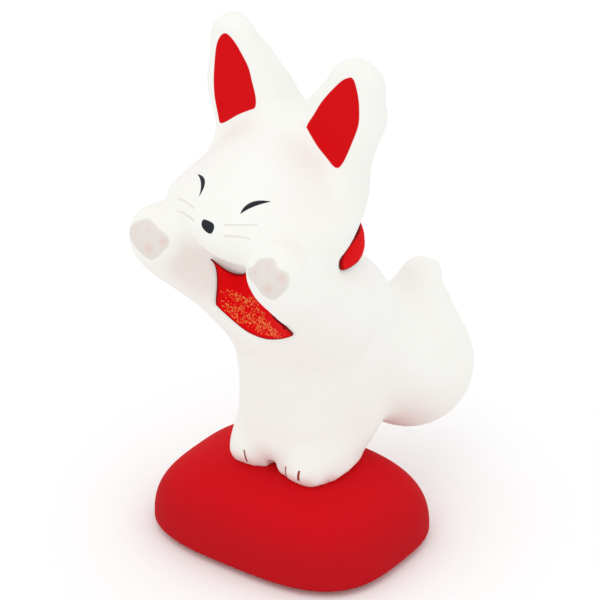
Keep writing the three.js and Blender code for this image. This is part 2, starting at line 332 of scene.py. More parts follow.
# %% [markdown]
# A form pressed in a mould is finished by hand, and the thumb leaves fillings and flats that no rule gives.
# Each touch moves the skin out or in round one place, less and less up to its reach. They straighten the
# backs of the ears, flatten the far cheek into the arm, square the tail's tip and part the feet. Places,
# pushes and reaches are in mm.

# %% Touches of the thumb
TOUCHES = [
    {"place": (-4.2, 6.8, 118.7), "way_out": (0.57, 0.69, 0.45), "push": 0.75, "reach": 7.0},
    {"place": (-7.9, 6.8, 125.2), "way_out": (0.54, 0.69, 0.48), "push": -0.4, "reach": 5.0},
    {"place": (-18.0, 0.0, 136.7), "way_out": (-0.4, 0.2, 0.89), "push": 0.45, "reach": 6.0},
    {"place": (14.5, -2.8, 133.1), "way_out": (-0.81, -0.27, 0.53), "push": 0.45, "reach": 5.0},
    {"place": (24.1, 2.8, 128.6), "way_out": (0.77, 0.62, 0.15), "push": 0.9, "reach": 6.5},
    {"place": (24.2, 4.0, 114.6), "way_out": (0.85, 0.4, -0.25), "push": -0.6, "reach": 7.0},
    {"place": (-20.9, -13.8, 101.3), "way_out": (-0.71, -0.09, 0.69), "push": -0.9, "reach": 8.5},
    {"place": (-19.5, -23.5, 97.5), "way_out": (-0.7, -0.2, 0.68), "push": 0.9, "reach": 6.0},
    {"place": (12.6, 44.7, 59.0), "way_out": (0.48, 0.69, 0.55), "push": 0.4, "reach": 2.8},
    {"place": (14.5, 45.1, 54.6), "way_out": (0.69, 0.66, 0.29), "push": -0.5, "reach": 4.0},
    {"place": (-11.6, 3.0, 133.4), "way_out": (0.53, 0.69, 0.49), "push": -0.6, "reach": 6.5},
    {"place": (-0.9, -6.0, 21.5), "way_out": (0.3, -0.7, -0.65), "push": -1.3, "reach": 2.0},
    {"place": (2.3, -7.6, 22.0), "way_out": (-0.6, -0.6, -0.5), "push": 0.9, "reach": 2.4},
    {"place": (-2.9, -6.8, 20.9), "way_out": (0.3, -0.3, -0.9), "push": 0.5, "reach": 2.0},
]


def touch_skin(corners, place, way_out, push, reach):
    """Moves corners, in mm, out by a push round one place, or in where the push is below zero."""
    away = np.linalg.norm(corners - np.array(place), axis=1) / reach
    share = np.clip(1 - away ** 2, 0, 1) ** 2
    corners += share[:, None] * np.array(way_out) * push


untouched = places(fox.data) / MM
touched = untouched.copy()
for touch in TOUCHES:
    touch_skin(touched, **touch)
fox.data.vertices.foreach_set("co", touched.ravel() * MM)
fox.data.update()
largest_move = np.linalg.norm(touched - untouched, axis=1).max()
print(len(TOUCHES), "touches move the skin by up to", round(float(largest_move), 2), "mm")

# %% [markdown]
# The frame leaves a hair's gap between the soles and the base, where the real ones are glued. The soles
# are let down into the base, so that no light shows under them. The feet just above follow, less and less
# with their distance from the base, so that their sides stay smooth.

# %% The soles
SOLE_DEPTH = 0.55 * MM
SOLE_REACH = 0.4 * MM
FOOT_REACH = 1.5 * MM
FEET_BELOW = 25 * MM


def surface_tree(mesh):
    """A mesh's surface, ready to be asked for its nearest place."""
    return BVHTree.FromPolygons([v.co for v in mesh.vertices], [p.vertices for p in mesh.polygons])


def let_down_soles(skin_mesh, base_tree):
    """Lowers the soles in full, and the feet above them by a share that eases out."""
    corners = places(skin_mesh)
    before = corners[:, 2].copy()
    for row in np.flatnonzero(corners[:, 2] < FEET_BELOW):
        distance = base_tree.find_nearest(Vector(corners[row]))[3]
        share = min(max((FOOT_REACH - distance) / (FOOT_REACH - SOLE_REACH), 0), 1)
        corners[row, 2] -= SOLE_DEPTH * share * share * (3 - 2 * share)
    skin_mesh.vertices.foreach_set("co", corners.ravel())
    skin_mesh.update()
    print("soles:", int((corners[:, 2] < before).sum()), "corners let down")


# %% [markdown]
# ## The base
#
# The base is a smooth dome that bulges a little past its own foot, like a river stone. Seen from above
# its outline is an oval that is squared off, and so is its profile. Both follow one rule, the squared-off
# oval, so the base is a node tree that bends a flat grid: across the grid runs the turn round the
# base, and up the grid runs the profile, from the middle of the underside to the top of the dome.
#
# A ball pressed flat would be quicker to make, but its sides would be too round and it would have no foot.

# %% The base's node tree
EDGE_STARTS = 0.15
DOME_STARTS = 0.35
SEAM_CLOSES = 0.002 * MM


def end_tree(group, made, geometry, paint):
    """Ends a tree for shapes. What it made becomes one plain mesh with its paint on."""
    single = add_node(group, "GeometryNodeRealizeInstances", Geometry=geometry)
    painted = add_node(group, "GeometryNodeSetMaterial", Geometry=single.outputs["Geometry"],
                       Material=paint)
    feed(group, made["Geometry"], painted.outputs["Geometry"])


def dome_tree():
    group, given, made = new_group(
        "Stone dome", "GeometryNodeTree",
        [("Width", "NodeSocketFloat", 0.06), ("Depth", "NodeSocketFloat", 0.05),
         ("Height", "NodeSocketFloat", 0.02), ("Widest at", "NodeSocketFloat", 0.002),
         ("Foot share", "NodeSocketFloat", 0.7), ("Plan power", "NodeSocketFloat", 3.0),
         ("Dome power", "NodeSocketFloat", 2.6), ("Sides", "NodeSocketInt", 96),
         ("Steps", "NodeSocketInt", 60), ("Paint", "NodeSocketMaterial", None)],
        [("Geometry", "NodeSocketGeometry")])
    sheet = add_node(group, "GeometryNodeMeshGrid", Size_X=1.0, Size_Y=1.0,
                     Vertices_X=given["Sides"], Vertices_Y=given["Steps"])
    position = group.nodes.new("GeometryNodeInputPosition").outputs["Position"]
    place = add_node(group, "ShaderNodeSeparateXYZ", Vector=position)
    turn = calc(group, "MULTIPLY", calc(group, "ADD", place.outputs["X"], 0.5), math.tau)
    climb = calc(group, "ADD", place.outputs["Y"], 0.5)

    def stretch(start, end):
        """How much of one stretch of the climb is done, as a quarter turn."""
        node = add_node(group, "ShaderNodeMapRange", Value=climb, From_Min=start, From_Max=end,
                        To_Max=math.pi / 2)
        return node.outputs["Result"]

    underside = calc(group, "DIVIDE", stretch(0.0, EDGE_STARTS), math.pi / 2)
    edge = stretch(EDGE_STARTS, DOME_STARTS)
    dome = stretch(DOME_STARTS, 1.0)
    power = calc(group, "DIVIDE", 2.0, given["Dome power"])
    foot = calc(group, "MULTIPLY", given["Foot share"], underside)
    overhang = calc(group, "SUBTRACT", 1.0, given["Foot share"])
    swell = calc(group, "MULTIPLY", overhang, calc(group, "SINE", edge))
    cosine = calc(group, "MAXIMUM", calc(group, "COSINE", dome), 0.0)
    shrink = calc(group, "POWER", cosine, power)
    reach = calc(group, "MULTIPLY", calc(group, "ADD", foot, swell), shrink)
    edge_climb = calc(group, "SUBTRACT", 1.0, calc(group, "COSINE", edge))
    low_rise = calc(group, "MULTIPLY", given["Widest at"], edge_climb)
    dome_height = calc(group, "SUBTRACT", given["Height"], given["Widest at"])
    sine = calc(group, "MAXIMUM", calc(group, "SINE", dome), 0.0)
    high_rise = calc(group, "MULTIPLY", dome_height, calc(group, "POWER", sine, power))
    height = calc(group, "ADD", low_rise, high_rise)

    ahead = calc(group, "COSINE", turn)
    aside = calc(group, "SINE", turn)
    powers = [calc(group, "POWER", calc(group, "ABSOLUTE", side), given["Plan power"])
              for side in (ahead, aside)]
    both = calc(group, "ADD", *powers)
    oval = calc(group, "POWER", both, calc(group, "DIVIDE", 1.0, given["Plan power"]))
    out = calc(group, "DIVIDE", reach, calc(group, "MULTIPLY", oval, 2.0))
    x = calc(group, "MULTIPLY", calc(group, "MULTIPLY", ahead, out), given["Width"])
    y = calc(group, "MULTIPLY", calc(group, "MULTIPLY", aside, out), given["Depth"])
    spot = add_node(group, "ShaderNodeCombineXYZ", X=x, Y=y, Z=height)

    bent = add_node(group, "GeometryNodeSetPosition", Geometry=sheet.outputs["Mesh"],
                    Position=spot.outputs["Vector"])
    closed = add_node(group, "GeometryNodeMergeByDistance", Geometry=bent.outputs["Geometry"],
                      Distance=SEAM_CLOSES)
    smooth = add_node(group, "GeometryNodeSetShadeSmooth", Geometry=closed.outputs["Geometry"])
    end_tree(group, made, smooth.outputs["Geometry"], given["Paint"])
    return group


def grown(name, group, **sizes):
    """Runs a node tree on a new piece and keeps the plain mesh that it makes."""
    piece = add_object(name, bpy.data.meshes.new(name))
    growth = piece.modifiers.new("growth", "NODES")
    growth.node_group = group
    inputs = [item for item in group.interface.items_tree if item.in_out == "INPUT"]
    socket_of = {item.name: item.identifier for item in inputs}
    for size, value in sizes.items():
        growth[socket_of[size.replace("_", " ")]] = value
    finished(piece)
    print(name, "has", len(piece.data.polygons), "faces")
    return piece


# %% [markdown]
# The base's paint is a flat, soft red. A mould-made paper form is never quite even, so the tone drifts
# a little across it, and a fine grain breaks up the light. Low down, where the form turns under, the red is
# painted darker as painted shade. Noise nodes give the drift and the grain. They need no image, and they
# stay sharp from close by.
# Patterns are sized in patches for each mm, and the grain's heights are in mm.

# %% The red paint
RED_DEEP = srgb(204, 12, 22)
RED_BRIGHT = srgb(211, 15, 26)
RED_PAINTED_SHADE = srgb(185, 19, 27)
RED_DRIFT = {"scale": 0.07, "detail": 3.0}
SHADE_BELOW_HEIGHT = 13.5
SHADE_BLUR = 6.5
RED_ROUGHNESS = 0.75
RED_SHINE = 0.05
RED_BRUSHED = {"scale": 0.9, "detail": 3.0, "height": 0.02}
RED_SPECKLE = {"scale": 6.0, "detail": 4.0, "height": 0.006}


def point_in_mm(tree):
    """The place on the piece, in millimetres, so that patterns keep their real size."""
    place = tree.nodes.new("ShaderNodeTexCoord").outputs["Object"]
    return vector_calc(tree, "SCALE", place, scale=1 / MM)


def noise(tree, point, scale, detail=2.0):
    return add_node(tree, "ShaderNodeTexNoise", Vector=point, Scale=scale, Detail=detail).outputs["Fac"]


def bumps(tree, point, scale, detail, height):
    """A layer of bumps of one size, as a height in metres."""
    return calc(tree, "MULTIPLY", noise(tree, point, scale, detail), height * MM)


def grain(tree, *layers):
    """A bump made of several heights, each in metres."""
    height = layers[0]
    for layer in layers[1:]:
        height = calc(tree, "ADD", height, layer)
    bump = add_node(tree, "ShaderNodeBump", Height=height, Strength=1.0, Distance=1.0)
    return bump.outputs["Normal"]


red_paint, tree, shader = new_paint("matte red paint")
point = point_in_mm(tree)
drift = noise(tree, point, **RED_DRIFT)
height = add_node(tree, "ShaderNodeSeparateXYZ", Vector=point).outputs["Z"]
# Painted shade: below this height the red turns darker, standing in for the shade where the dome turns
# under.
painted_shade = inside(tree, calc(tree, "SUBTRACT", height, SHADE_BELOW_HEIGHT), SHADE_BLUR)
feed(tree, shader["Base Color"], mixed(tree, painted_shade, mixed(tree, drift, RED_DEEP, RED_BRIGHT), RED_PAINTED_SHADE))
shader["Roughness"].default_value = RED_ROUGHNESS
shader["Specular IOR Level"].default_value = RED_SHINE
red_grain = grain(tree, bumps(tree, point, **RED_BRUSHED), bumps(tree, point, **RED_SPECKLE))
feed(tree, shader["Normal"], red_grain)

# %% [markdown]
# The dome takes its width, depth and height from the frame's base and so fills the same box. Its widest
# ring lies 2.5 mm above the shelf. Once it stands, the fox's soles are let down into it.

# %% The base
BASE_WIDEST_AT = 2.5 * MM
BASE_SHAPE = {"Foot_share": 0.7, "Plan_power": 3.1, "Dome_power": 2.6}
BASE_GRID = {"Sides": 145, "Steps": 81}

base_low, base_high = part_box("base")
base = grown("base_dome", dome_tree(), Width=base_high.x - base_low.x, Depth=base_high.y - base_low.y,
             Height=base_high.z, Widest_at=BASE_WIDEST_AT, **BASE_SHAPE, **BASE_GRID, Paint=red_paint)
let_down_soles(fox.data, surface_tree(base.data))

# %% [markdown]
# ## Painted marks
#
# Most marks on the fox are short strokes and dots of a brush. They could be drawn on an image, but that
# blurs from close by. Here each mark is described by where it lies on the skin and is drawn in the paint's
# own node tree, so it stays sharp at any size. Two groups measure the distance from a point to a mark.
# Below zero, the point is under the brush.
#
# A stroke runs from one place to another, may bend sideways, and may swell between its ends.

# %% A stroke and a dot
def stroke_group():
    group, given, made = new_group(
        "Brush stroke", "ShaderNodeTree",
        [("Point", "NodeSocketVector", None), ("From", "NodeSocketVector", None),
         ("To", "NodeSocketVector", None), ("Bend", "NodeSocketVector", None),
         ("Bend place", "NodeSocketFloat", 1.0), ("Start radius", "NodeSocketFloat", 0.1),
         ("End radius", "NodeSocketFloat", 0.1), ("Swell", "NodeSocketFloat", 0.0)],
        [("Distance", "NodeSocketFloat")])
    chord = vector_calc(group, "SUBTRACT", given["To"], given["From"])
    offset = vector_calc(group, "SUBTRACT", given["Point"], given["From"])
    along = calc(group, "DIVIDE", vector_calc(group, "DOT_PRODUCT", offset, chord),
                 vector_calc(group, "DOT_PRODUCT", chord, chord))
    share = add_node(group, "ShaderNodeClamp", Value=along).outputs["Result"]
    warped = calc(group, "POWER", share, given["Bend place"])
    rest = calc(group, "SUBTRACT", 1.0, warped)
    arch = calc(group, "MULTIPLY", calc(group, "MULTIPLY", warped, rest), 4.0)
    straight = vector_calc(group, "SUBTRACT", offset, vector_calc(group, "SCALE", chord, scale=share))
    bow = vector_calc(group, "SCALE", given["Bend"], scale=arch)
    aside = vector_calc(group, "SUBTRACT", straight, bow)
    widening = calc(group, "SUBTRACT", given["End radius"], given["Start radius"])
    taper = calc(group, "MULTIPLY", widening, share)
    radius = calc(group, "ADD", calc(group, "ADD", given["Start radius"], taper),
                  calc(group, "MULTIPLY", given["Swell"], arch))
    feed(group, made["Distance"], calc(group, "SUBTRACT", vector_calc(group, "LENGTH", aside), radius))
    return group


def dot_group():
    group, given, made = new_group(
        "Paint dot", "ShaderNodeTree",
        [("Point", "NodeSocketVector", None), ("Centre", "NodeSocketVector", None),
         ("Radius", "NodeSocketFloat", 1.0)],
        [("Distance", "NodeSocketFloat")])
    away = vector_calc(group, "DISTANCE", given["Point"], given["Centre"])
    feed(group, made["Distance"], calc(group, "SUBTRACT", away, given["Radius"]))
    return group


STROKE = stroke_group()
DOT = dot_group()
skin_tree = surface_tree(fox.data)


def on_skin(place):
    """The place on the fox's skin nearest to a place given in mm, in mm too."""
    return skin_tree.find_nearest(Vector(place) * MM)[0] / MM


def stroke(tree, point, start, middle, end, radii, swell=0.0):
    """A stroke through three places on the skin, in mm."""
    start, middle, end = on_skin(start), on_skin(middle), on_skin(end)
    chord = end - start
    bend_place = (middle - start).dot(chord) / chord.length_squared
    bend = middle - start.lerp(end, bend_place)
    bend_power = math.log(0.5) / math.log(bend_place)
    node = add_node(tree, "ShaderNodeGroup", {"node_tree": STROKE}, Point=point, From=start, To=end,
                    Bend=bend, Bend_place=bend_power, Start_radius=radii[0], End_radius=radii[1],
                    Swell=swell)
    return node.outputs["Distance"]


def dot(tree, point, centre, radius):
    """A dot round a place on the skin, in mm."""
    node = add_node(tree, "ShaderNodeGroup", {"node_tree": DOT}, Point=point, Centre=on_skin(centre),
                    Radius=radius)
    return node.outputs["Distance"]


def together(tree, marks):
    """The distance to the nearest of several marks."""
    nearest = marks[0]
    for mark in marks[1:]:
        nearest = calc(tree, "MINIMUM", nearest, mark)
    return nearest


# %% [markdown]
# The strokes and the dots follow, in mm. A stroke has a start, a middle and an end, and the radii of its
# two ends. An eye is a stroke that swells between them. A dot has a centre and a radius. All are painted
# by eye, so each pair differs a little.

# %% Where the strokes and dots lie
PAD_SPOTS = [
    ((15.7, -35.6, 94.2), 0.4), ((18.5, -34.7, 96.4), 0.1),
    ((22.1, -34.1, 93.9), 0.7), ((19.4, -35.7, 91.1), 0.9),
    ((-19.5, -35.2, 93.5), 0.2), ((-16.0, -34.7, 95.0), 0.2),
    ((-12.4, -34.0, 92.5), 0.6), ((-15.4, -35.8, 90.5), 0.9),
]
WHISKERS = [
    ((3.5, -30.7, 100.5), (7.0, -29.3, 101.0), (10.3, -27.5, 101.3), (0.22, 0.12)),
    ((4.3, -31.7, 98.3), (7.0, -30.9, 98.7), (10.1, -29.8, 98.5), (0.24, 0.16)),
    ((-6.8, -29.2, 101.0), (-9.9, -27.8, 100.9), (-13.5, -26.2, 100.1), (0.22, 0.12)),
    ((-5.4, -31.0, 99.0), (-8.9, -29.7, 99.0), (-12.1, -28.5, 98.3), (0.24, 0.16)),
]
TOE_LINES = [
    ((-7.1, -10.1, 24.7), (-6.7, -10.1, 23.4), (-6.6, -10.1, 21.0), (0.22, 0.25)),
    ((5.5, -9.7, 24.4), (5.2, -9.7, 23.4), (4.9, -9.8, 21.0), (0.22, 0.3)),
    ((9.6, -10.1, 24.7), (9.5, -10.2, 23.6), (9.4, -10.2, 22.0), (0.3, 0.34)),
]
EYES = [
    ((5.8, -27.8, 103.0), (7.1, -25.2, 104.6), (10.3, -22.4, 105.2), (0.08, 0.08), 0.56),
    ((-11.7, -21.0, 104.9), (-8.3, -23.7, 105.0), (-7.0, -26.9, 103.1), (0.12, 0.06), 0.52),
]

# %% [markdown]
# The red inside each ear, the pads and the nose are filled shapes with their own outlines, wider than a
# stroke. For a shape with many corners it is simpler to measure the distance to the outline once, here,
# and to store it on the skin as an attribute. The paint then needs only to ask whether that distance is
# below zero.
#
# The outlines are given as seen from the front, and they count only on the front of the form.

# %% Filled shapes
FAR_EAR = [(-16.7, 133.6), (-14.4, 133.0), (-10.1, 128.3), (-8.1, 124.0), (-6.8, 119.8), (-6.7, 117.5),
           (-8.0, 116.6), (-11.4, 114.4), (-16.1, 110.8), (-17.6, 112.3), (-19.0, 117.8), (-19.3, 124.2),
           (-18.7, 130.5)]
NEAR_EAR = [(20.7, 132.5), (18.8, 132.2), (16.6, 130.3), (12.6, 125.2), (9.8, 120.2), (8.4, 117.4),
            (9.0, 116.3), (14.3, 111.7), (17.4, 109.3), (18.7, 110.4), (20.6, 115.0), (22.5, 120.9),
            (22.6, 125.2), (22.1, 128.6)]
NEAR_PADS = [(12.5, 93.6), (14.7, 95.2), (15.6, 96.9), (17.8, 97.9), (19.8, 97.7), (20.9, 96.2),
             (22.8, 95.1), (23.4, 92.9), (22.7, 90.5), (20.1, 87.9), (17.7, 88.8), (16.1, 90.9),
             (13.4, 91.8)]
FAR_PADS = [(-22.2, 92.7), (-20.6, 94.9), (-17.2, 96.7), (-14.2, 95.5), (-11.9, 93.5), (-11.3, 91.5),
            (-12.4, 89.8), (-13.4, 88.4), (-15.3, 87.1), (-16.6, 87.8), (-18.9, 89.3), (-21.3, 90.7)]
NOSE = [(-2.9, 99.8), (-2.3, 100.3), (-0.2, 100.3), (0.8, 99.9), (1.0, 99.0), (0.4, 97.8), (-0.7, 97.8),
        (-1.9, 98.2), (-2.7, 98.8)]
EAR_FRONT = -2.5
PAWS_FRONT = -28.0
JUST_BEHIND = 1
FAR_OFF = 20.0
CURVE_STEPS = 6


def flowing(outline):
    """A closed curve through an outline's corners."""
    knots = np.array(outline)
    before, after, next_after = np.roll(knots, 1, 0), np.roll(knots, -1, 0), np.roll(knots, -2, 0)
    rows = []
    for t in np.arange(CURVE_STEPS) / CURVE_STEPS:
        rows.append(0.5 * (2 * knots + (after - before) * t
                           + (2 * before - 5 * knots + 4 * after - next_after) * t ** 2
                           + (3 * knots - before - 3 * after + next_after) * t ** 3))
    return np.stack(rows, axis=1).reshape(-1, 2)


def outline_distance(points, outline):
    """How far points are from a closed outline, less than zero inside it."""
    start = flowing(outline)
    end = np.roll(start, -1, 0)
    side = end - start
    offset = points[:, None, :] - start[None]
    share = np.clip((offset * side).sum(2) / (side * side).sum(1), 0, 1)
    away = np.linalg.norm(offset - share[..., None] * side, axis=2).min(1)
    px, py = points[:, :1], points[:, 1:]
    crosses = (start[:, 1] > py) != (end[:, 1] > py)
    slope = side[:, 0] / np.where(side[:, 1] == 0, 1e-9, side[:, 1])
    is_inside = (crosses & (px < start[:, 0] + (py - start[:, 1]) * slope)).sum(1) % 2 == 1
    return np.where(is_inside, -away, away)


def keep_outlines(name, outlines, front):
    """Stores on the skin the distance to the nearest of several outlines, seen from the front."""
    corners = places(fox.data) / MM
    distance = np.full(len(corners), FAR_OFF)
    close = corners[:, 1] < front + JUST_BEHIND
    for outline in outlines:
        distance[close] = np.minimum(distance[close], outline_distance(corners[close][:, [0, 2]], outline))
    distance = np.maximum(distance, corners[:, 1] - front)
    fox.data.attributes.new(name, "FLOAT", "POINT").data.foreach_set("value", distance.astype(np.float32))
    print(name, "holds", int((distance < 0).sum()), "corners inside its outlines")


keep_outlines("ear_edge", [FAR_EAR, NEAR_EAR], EAR_FRONT)
keep_outlines("pad_edge", [NEAR_PADS, FAR_PADS], PAWS_FRONT)
keep_outlines("nose_edge", [NOSE], PAWS_FRONT)

# %% [markdown]
# ## The white paint, with all marks
#
# Shell-white paint is chalky and dead matte. It is a warm white that drifts slightly, over a very fine
# grain. The marks come on top of it: grey pads with pink centres, pale whiskers, red toe lines, the ears'
# red, and last the black of the eyes and the nose. Each mark has a blur at its rim, in mm, and the thinner
# paints let some of the white through.

# %% The white paint
WHITE_WARM = srgb(241, 239, 234)
WHITE_COOL = srgb(243, 244, 240)
WHITE_DRIFT = 0.045
WHITE_ROUGHNESS = 0.78
WHITE_SHINE = 0.06
WHITE_BRUSHED = {"scale": 0.7, "detail": 3.0, "height": 0.02}
WHITE_CHALK = {"scale": 5.0, "detail": 4.0, "height": 0.005}
PAD_GREY = srgb(225, 218, 213)
PAD_BLUR = 0.35
PAD_PINK = srgb(230, 184, 176)
PINK_BLUR = 0.9
PINK_STRENGTH = 0.5
WHISKER_PINK = srgb(214, 200, 195)
WHISKER_BLUR = 0.2
WHISKER_STRENGTH = 0.6
TOE_RED = srgb(150, 60, 48)
TOE_BLUR = 0.12
EAR_RED = srgb(209, 10, 17)
EAR_BLUR = 0.1
INK = srgb(40, 44, 49)
INK_BLUR = 0.08
INK_GLOSS = 0.3


def stored(tree, name):
    """A value that the piece carries as an attribute."""
    return add_node(tree, "ShaderNodeAttribute", {"attribute_name": name}).outputs["Fac"]


def brushed_on(tree, below, mark, blur, paint, strength=1.0):
    """The colour below with a mark of paint on top of it."""
    share = calc(tree, "MULTIPLY", inside(tree, mark, blur), strength)
    return mixed(tree, share, below, paint)


shell_white, tree, shader = new_paint("shell white with painted marks")
point = point_in_mm(tree)
drift = noise(tree, point, WHITE_DRIFT)
colour = mixed(tree, drift, WHITE_WARM, WHITE_COOL)
colour = brushed_on(tree, colour, stored(tree, "pad_edge"), PAD_BLUR, PAD_GREY)
spots = together(tree, [dot(tree, point, *spot) for spot in PAD_SPOTS])
colour = brushed_on(tree, colour, spots, PINK_BLUR, PAD_PINK, PINK_STRENGTH)
whiskers = together(tree, [stroke(tree, point, *whisker) for whisker in WHISKERS])
colour = brushed_on(tree, colour, whiskers, WHISKER_BLUR, WHISKER_PINK, WHISKER_STRENGTH)
toes = together(tree, [stroke(tree, point, *line) for line in TOE_LINES])
colour = brushed_on(tree, colour, toes, TOE_BLUR, TOE_RED)
colour = brushed_on(tree, colour, stored(tree, "ear_edge"), EAR_BLUR, EAR_RED)
eyes = [stroke(tree, point, *eye) for eye in EYES]
in_ink = inside(tree, together(tree, [*eyes, stored(tree, "nose_edge")]), INK_BLUR)
colour = mixed(tree, in_ink, colour, INK)

feed(tree, shader["Base Color"], colour)
roughness = calc(tree, "SUBTRACT", WHITE_ROUGHNESS, calc(tree, "MULTIPLY", in_ink, INK_GLOSS))
feed(tree, shader["Roughness"], roughness)
shader["Specular IOR Level"].default_value = WHITE_SHINE
white_grain = grain(tree, bumps(tree, point, **WHITE_BRUSHED), bumps(tree, point, **WHITE_CHALK))
feed(tree, shader["Normal"], white_grain)
fox.data.materials.append(shell_white)
print("shell white is made of", len(tree.nodes), "nodes")

# %% [markdown]
# ## The cloth
#
# The bib and the collar are cut from one thin red cloth and lie close on the skin. A cut piece is laid
# out flat first, in millimetres across and down, and each of its points is then led from the middle of the
# neck out to the skin. Where the skin is hollow, the cloth is pulled taut and spans the hollow. The flat
# layout stays with the cloth as its UV map, so the weave follows the cloth.
#
# A cloth simulation could drape them too. But these scraps hardly hang free, and a rule keeps the outline
# of the cut and gives the same cloth each time.
#
# Heights on the fox are counted from its soles, in hundredths of its height.

# %% Laying cloth on the skin
NECK_AXIS_Y = 0.95 * MM
FEET_LEVEL = 18.0 * MM
PERCENT = 1.19 * MM
NECK_LEVEL = FEET_LEVEL + 54.9 * PERCENT
STRIDE = 0.4 * MM
HALVINGS = 9
TAUT_ROUNDS = 40
EDGE_LINE = 0.5


def height_over_skin(place):
    """How far a place is off the skin, less than zero inside it."""
    nearest, normal, _, distance = skin_tree.find_nearest(place)
    return math.copysign(distance, (place - nearest).dot(normal))


def line_out(turn, start_height, fall):
    """The start and the direction of a line from the neck's middle outwards."""
    start = Vector((0, NECK_AXIS_Y, start_height))
    return start, Vector((math.sin(turn), -math.cos(turn), -fall)).normalized()


def resting_distance(start, line, away):
    """How far along a line the skin is passed by some distance."""
    outer = skin_tree.ray_cast(start, line)[3]
    while height_over_skin(start + line * outer) < away:
        outer += STRIDE
    inner = outer - STRIDE
    for _ in range(HALVINGS):
        middle = (inner + outer) / 2
        if height_over_skin(start + line * middle) < away:
            inner = middle
        else:
            outer = middle
    return outer


def pulled_taut(resting):
    """Lifts a grid of distances where it is hollow, as cloth spans a hollow, and nowhere lowers it."""
    taut = resting
    for _ in range(TAUT_ROUNDS):
        wide = np.pad(taut, 1, mode="edge")
        around = (wide[:-2, 1:-1] + wide[2:, 1:-1] + wide[1:-1, :-2] + wide[1:-1, 2:]) / 4
        taut = np.maximum(resting, around)
    return taut


def cloth_piece(name, columns, rows, line_at, cut_at):
    """A sheet over a grid that runs from -1 to 1 both ways, with its flat cut as the UV map."""
    grid = [(u, v) for v in np.linspace(-1, 1, rows + 1) for u in np.linspace(-1, 1, columns + 1)]
    lines = [line_at(u, v) for u, v in grid]
    cuts = np.array([cut_at(u, v) for u, v in grid])
    resting = np.array([resting_distance(*line) for line in lines]).reshape(rows + 1, columns + 1)
    lengths = pulled_taut(resting).ravel()
    corners = [start + line * length for (start, line, _), length in zip(lines, lengths)]
    wide = columns + 1
    faces = [(r * wide + c, r * wide + c + 1, (r + 1) * wide + c + 1, (r + 1) * wide + c)
             for r in range(rows) for c in range(columns)]
    mesh = new_mesh(name, corners, faces)
    layout = mesh.uv_layers.new(name="cut")
    for loop in mesh.loops:
        layout.data[loop.index].uv = cuts[loop.vertex_index]
    rim = cuts[[abs(u) == 1 or abs(v) == 1 for u, v in grid]]
    from_rim = np.linalg.norm(cuts[:, None] - rim[None], axis=2).min(1)
    at_edge = np.clip(1 - from_rim / EDGE_LINE, 0, 1)
    mesh.attributes.new("cut_edge", "FLOAT", "POINT").data.foreach_set("value", at_edge.astype(np.float32))
    box = (places(mesh).min(0), places(mesh).max(0))
    print(name, "box in mm:", in_mm(box))
    return add_object(name, mesh)


# %% [markdown]
# The bib is a small shield. Its lower corners ride up a little. On the fox's right, which is the left as
# seen from the front, it reaches a little further out, its upper corner rises into the tie, and its top
# edge dips beside it. Its lower edge lifts from the belly in slow waves, as a stiff scrap of cloth does.

# %% The bib
BIB_WIDTH = 18.5
LEFT_REACH = 0.45
BIB_LENGTH = 19.2
CHEST_RADIUS = 15.9 * PERCENT
BIB_TURN = math.radians(7.8)
TOP_SHARE = 0.86
TIE_SPREAD = 0.06
TIE_RISE = 0.22
CORNER_RISE = 0.32
CORNER_POWER = 2.5
TOP_SAG = 0.43
SAG_ENDS_AT = 0.2
TOP_FALL = 0.8
BIB_AWAY = 0.32 * MM
WAVE_HEIGHT = 0.08 * MM
WAVE_TURN_PER_MM = 0.6
WAVE_START = 0.6
BIB_STEPS = 44


def bib_cut(u, v):
    """A point of the flat bib, in mm from the middle of its top edge."""
    down = (1 - v) / 2
    tied = (u * (1 - down)) ** 4 * (1 - u) / 2
    half_width = BIB_WIDTH / 2 * (TOP_SHARE + (1 - TOP_SHARE) * down + TIE_SPREAD * tied)
    sagged = TOP_SAG * (1 - u ** 4) * (SAG_ENDS_AT - u) * (1 - down) ** 2
    drop = down * (1 - CORNER_RISE * abs(u) ** CORNER_POWER) + sagged - TIE_RISE * tied
    return (u * half_width - LEFT_REACH * (1 - u) / 2, -drop * BIB_LENGTH)


def bib_line(u, v):
    """The line out to a point of the bib, and how far off the skin the cloth lies there."""
    across, below = bib_cut(u, v)
    down = (1 - v) / 2
    fall = TOP_FALL * (1 - down)
    turn = BIB_TURN + across * MM / CHEST_RADIUS
    lift = BIB_AWAY + WAVE_HEIGHT * down * down * math.sin(across * WAVE_TURN_PER_MM + WAVE_START)
    return *line_out(turn, NECK_LEVEL + below * MM + fall * CHEST_RADIUS, fall), lift


bib = cloth_piece("bib_cloth", BIB_STEPS, BIB_STEPS, bib_line, bib_cut)

# %% [markdown]
# The collar is a strip of the same cloth, pulled round the back of the neck and narrowing to a point at
# each cheek, where it goes out of sight. It is soft and full, so its middle stands off the neck. A bent
# tube would be simpler, but the neck is not round, and the tube would sink into it or gape.

# %% The collar
COLLAR_WIDTH = 6.9
COLLAR_CROWN = 2.4
COLLAR_AWAY = 0.15
COLLAR_REACH = math.radians(112)
COLLAR_RISE = 1.7 * PERCENT
COLLAR_COLUMNS = 96
COLLAR_ROWS = 20
NECK_RADIUS = 17.0
END_FULLNESS = 0.08


def fullness(u):
    """How much of its full width and thickness the collar has, from its ends to the back of the neck."""
    swell = math.sqrt(max(1 - math.sin(u * math.pi / 2) ** 4, 0))
    return END_FULLNESS + (1 - END_FULLNESS) * swell


def collar_cut(u, v):
    """A point of the flat strip, in mm from its middle."""
    along = math.sin(u * math.pi / 2) * COLLAR_REACH * NECK_RADIUS
    return (along, math.sin(v * math.pi / 2) * fullness(u) * COLLAR_WIDTH / 2)


